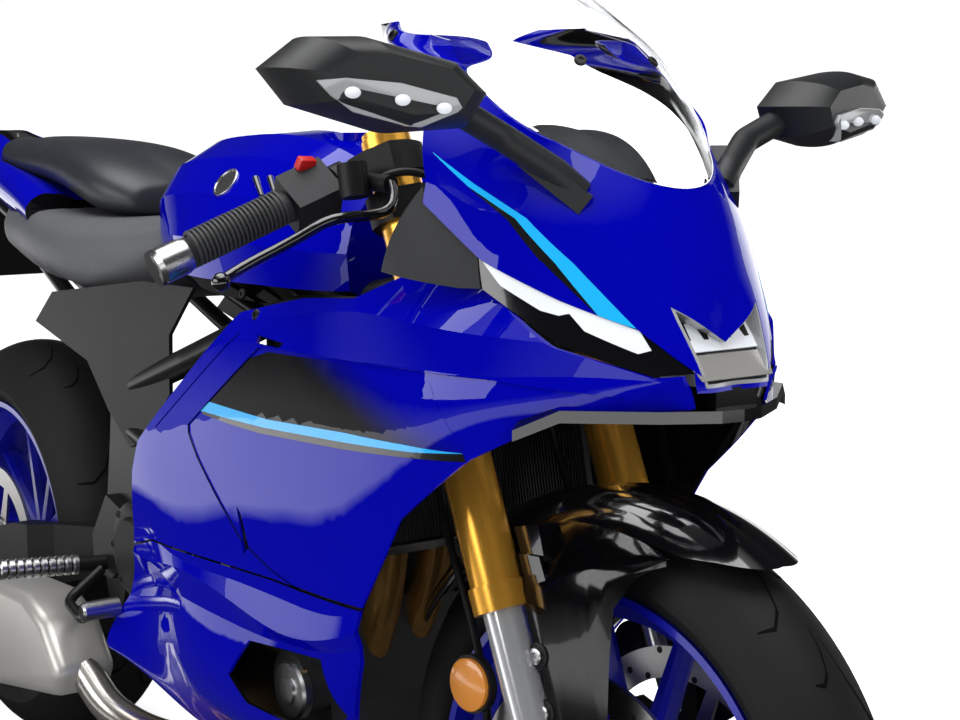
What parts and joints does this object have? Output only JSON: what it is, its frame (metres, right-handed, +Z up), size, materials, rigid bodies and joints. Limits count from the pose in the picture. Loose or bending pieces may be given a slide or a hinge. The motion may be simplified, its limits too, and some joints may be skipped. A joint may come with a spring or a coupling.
{
  "type": "sport bike",
  "caption": "Fully faired middleweight sport bike leaning on its side stand, with turning wheels, a steering fork and a folding side stand.",
  "frame": {"origin": "centre of the footprint of the bounding box, on the ground", "axes": "+X forward, +Y to the rider's left, +Z up; the machine leans to the left on its stand"},
  "size_m": [2.0086, 0.7638, 1.1526],
  "materials": {
    "paint_blue": "deep gloss blue",
    "rim_paint": "satin blue",
    "tyre_rubber": "road tyre rubber",
    "disc_steel": "ground steel",
    "chain_steel": "oiled steel",
    "gold_anodised": "gold anodised",
    "chrome_tube": "polished hard chrome",
    "cast_black": "satin black casting",
    "grip_rubber": "black rubber",
    "lever_black": "gloss black",
    "plastic_black": "textured black plastic",
    "gloss_black": "gloss black plastic",
    "frame_black": "satin black tube",
    "engine_grey": "dark grey casting",
    "exhaust_steel": "brushed stainless",
    "seat_cover": "black vinyl",
    "clear_lens": "clear plastic",
    "red_lens": "red lens",
    "bare_alloy": "machined alloy"
  },
  "bodies": {
    "chassis": {"belly_fairings": "paint_blue", "chain": "chain_steel", "engine": "engine_grey", "engine_covers": "engine_grey", "exhaust": "exhaust_steel", "footpegs": "bare_alloy", "frame": "frame_black", "fuel_tank": "paint_blue", "headlight": "clear_lens", "inner_panels": "plastic_black", "mirrors": "plastic_black", "nose_trim": "gloss_black", "pillion_seat": "seat_cover", "position_lights": "clear_lens", "radiator": "frame_black", "rear_mudguard": "plastic_black", "rear_shafts": "chain_steel", "rear_shock": "cast_black", "rider_seat": "seat_cover", "side_fairings": "paint_blue", "swingarm": "cast_black", "tail_fairing": "paint_blue", "tail_light": "red_lens", "upper_cowl": "paint_blue", "windscreen": "clear_lens"},
    "fork": {"front_axle": "chain_steel", "fork_feet": "cast_black", "fork_inner_tubes": "chrome_tube", "fork_outer_tubes": "gold_anodised", "triple_clamps": "cast_black", "handlebars": "cast_black", "grips": "grip_rubber", "switch_boxes": "plastic_black", "levers": "lever_black", "front_fender": "gloss_black", "front_calipers": "cast_black", "brake_hoses": "grip_rubber"},
    "front_wheel": {"front_tyre": "tyre_rubber", "front_rim": "rim_paint", "front_discs": "disc_steel"},
    "rear_wheel": {"rear_tyre": "tyre_rubber", "rear_rim": "rim_paint", "rear_disc": "disc_steel", "rear_sprocket": "disc_steel"},
    "side_stand": {"side_stand": "frame_black"}
  },
  "joints": [
    {"name": "steering", "type": "hinge", "parent": "chassis", "child": "fork", "pos_m": [0.67082, -0.11122, 0.28023], "axis": [-0.4004, 0.159, 0.9024], "range_deg": [-31, 19]},
    {"name": "front_wheel_spin", "type": "hinge", "parent": "fork", "child": "front_wheel", "pos_m": [0.70545, -0.10468, 0.29445], "axis": [-0.096, 0.9721, -0.2139], "continuous": true},
    {"name": "rear_wheel_spin", "type": "hinge", "parent": "chassis", "child": "rear_wheel", "pos_m": [-0.68934, -0.10597, 0.31166], "axis": [-0.0002, 0.9848, -0.1736], "continuous": true},
    {"name": "side_stand_fold", "type": "hinge", "parent": "chassis", "child": "side_stand", "pos_m": [-0.14449, 0.02439, 0.18648], "axis": [-0.0002, 0.9848, -0.1736], "range_deg": [0, 95]}
  ]
}
